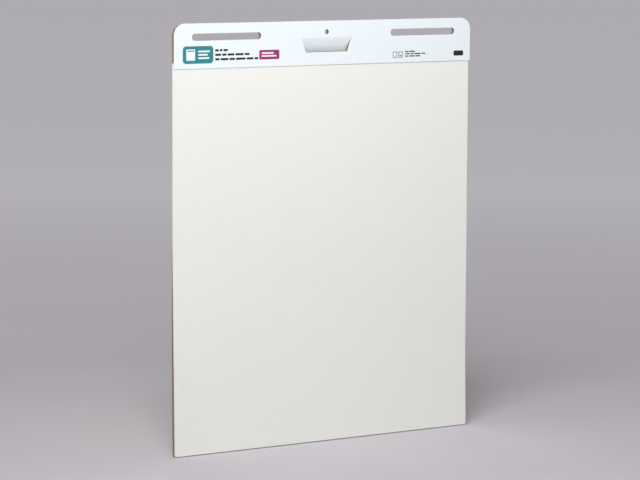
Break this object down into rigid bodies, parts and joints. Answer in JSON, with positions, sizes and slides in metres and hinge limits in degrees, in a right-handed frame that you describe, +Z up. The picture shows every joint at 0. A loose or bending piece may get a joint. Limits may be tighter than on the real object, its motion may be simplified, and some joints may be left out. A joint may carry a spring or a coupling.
{
  "type": "flip chart pad",
  "caption": "Self-stick flip chart pad that hangs on an easel: paper sheets on a corrugated board, with a slotted card header and a carrying handle.",
  "frame": {"origin": "middle of the pad's lower edge, half way through its thickness", "axes": "+X to the right as seen from the front, +Y to the back, +Z up"},
  "size_m": [0.635, 0.0064, 0.775],
  "materials": {
    "sheet_paper": "matte",
    "header_card": "satin",
    "kraft_liner": "matte",
    "kraft_flute": "matte"
  },
  "bodies": {
    "pad": {"rear_board_front_liner": "kraft_liner", "rear_board_flute": "kraft_flute", "rear_board_back_liner": "kraft_liner", "header_spacer_front_liner": "kraft_liner", "header_spacer_flute": "kraft_flute", "header_spacer_back_liner": "kraft_liner", "header_card": "header_card", "sheet_01_top_strip": "sheet_paper", "sheet_02": "sheet_paper", "sheet_03": "sheet_paper", "sheet_04": "sheet_paper", "sheet_05": "sheet_paper", "sheet_06": "sheet_paper", "sheet_07": "sheet_paper", "sheet_08": "sheet_paper", "sheet_09": "sheet_paper", "sheet_10": "sheet_paper", "sheet_11": "sheet_paper", "sheet_12": "sheet_paper", "sheet_13": "sheet_paper", "sheet_14": "sheet_paper", "sheet_15": "sheet_paper", "sheet_16": "sheet_paper", "sheet_17": "sheet_paper", "sheet_18": "sheet_paper", "sheet_19": "sheet_paper", "sheet_20": "sheet_paper", "sheet_21": "sheet_paper", "sheet_22": "sheet_paper", "sheet_23": "sheet_paper", "sheet_24": "sheet_paper", "sheet_25": "sheet_paper", "sheet_26": "sheet_paper", "sheet_27": "sheet_paper", "sheet_28": "sheet_paper", "sheet_29": "sheet_paper", "sheet_30": "sheet_paper"},
    "handle_flap": {"handle_flap": "header_card"},
    "front_sheet": {"sheet_01_leaf": "sheet_paper"}
  },
  "joints": [
    {"name": "handle_flap_push", "type": "hinge", "parent": "pad", "child": "handle_flap", "pos_m": [0, -0.00295, 0.74485], "axis": [1, 0, 0], "range_deg": [-10, 80]},
    {"name": "front_sheet_turn", "type": "hinge", "parent": "pad", "child": "front_sheet", "pos_m": [0, -0.00335, 0.6948], "axis": [-1, 0, 0], "range_deg": [0, 175]}
  ]
}
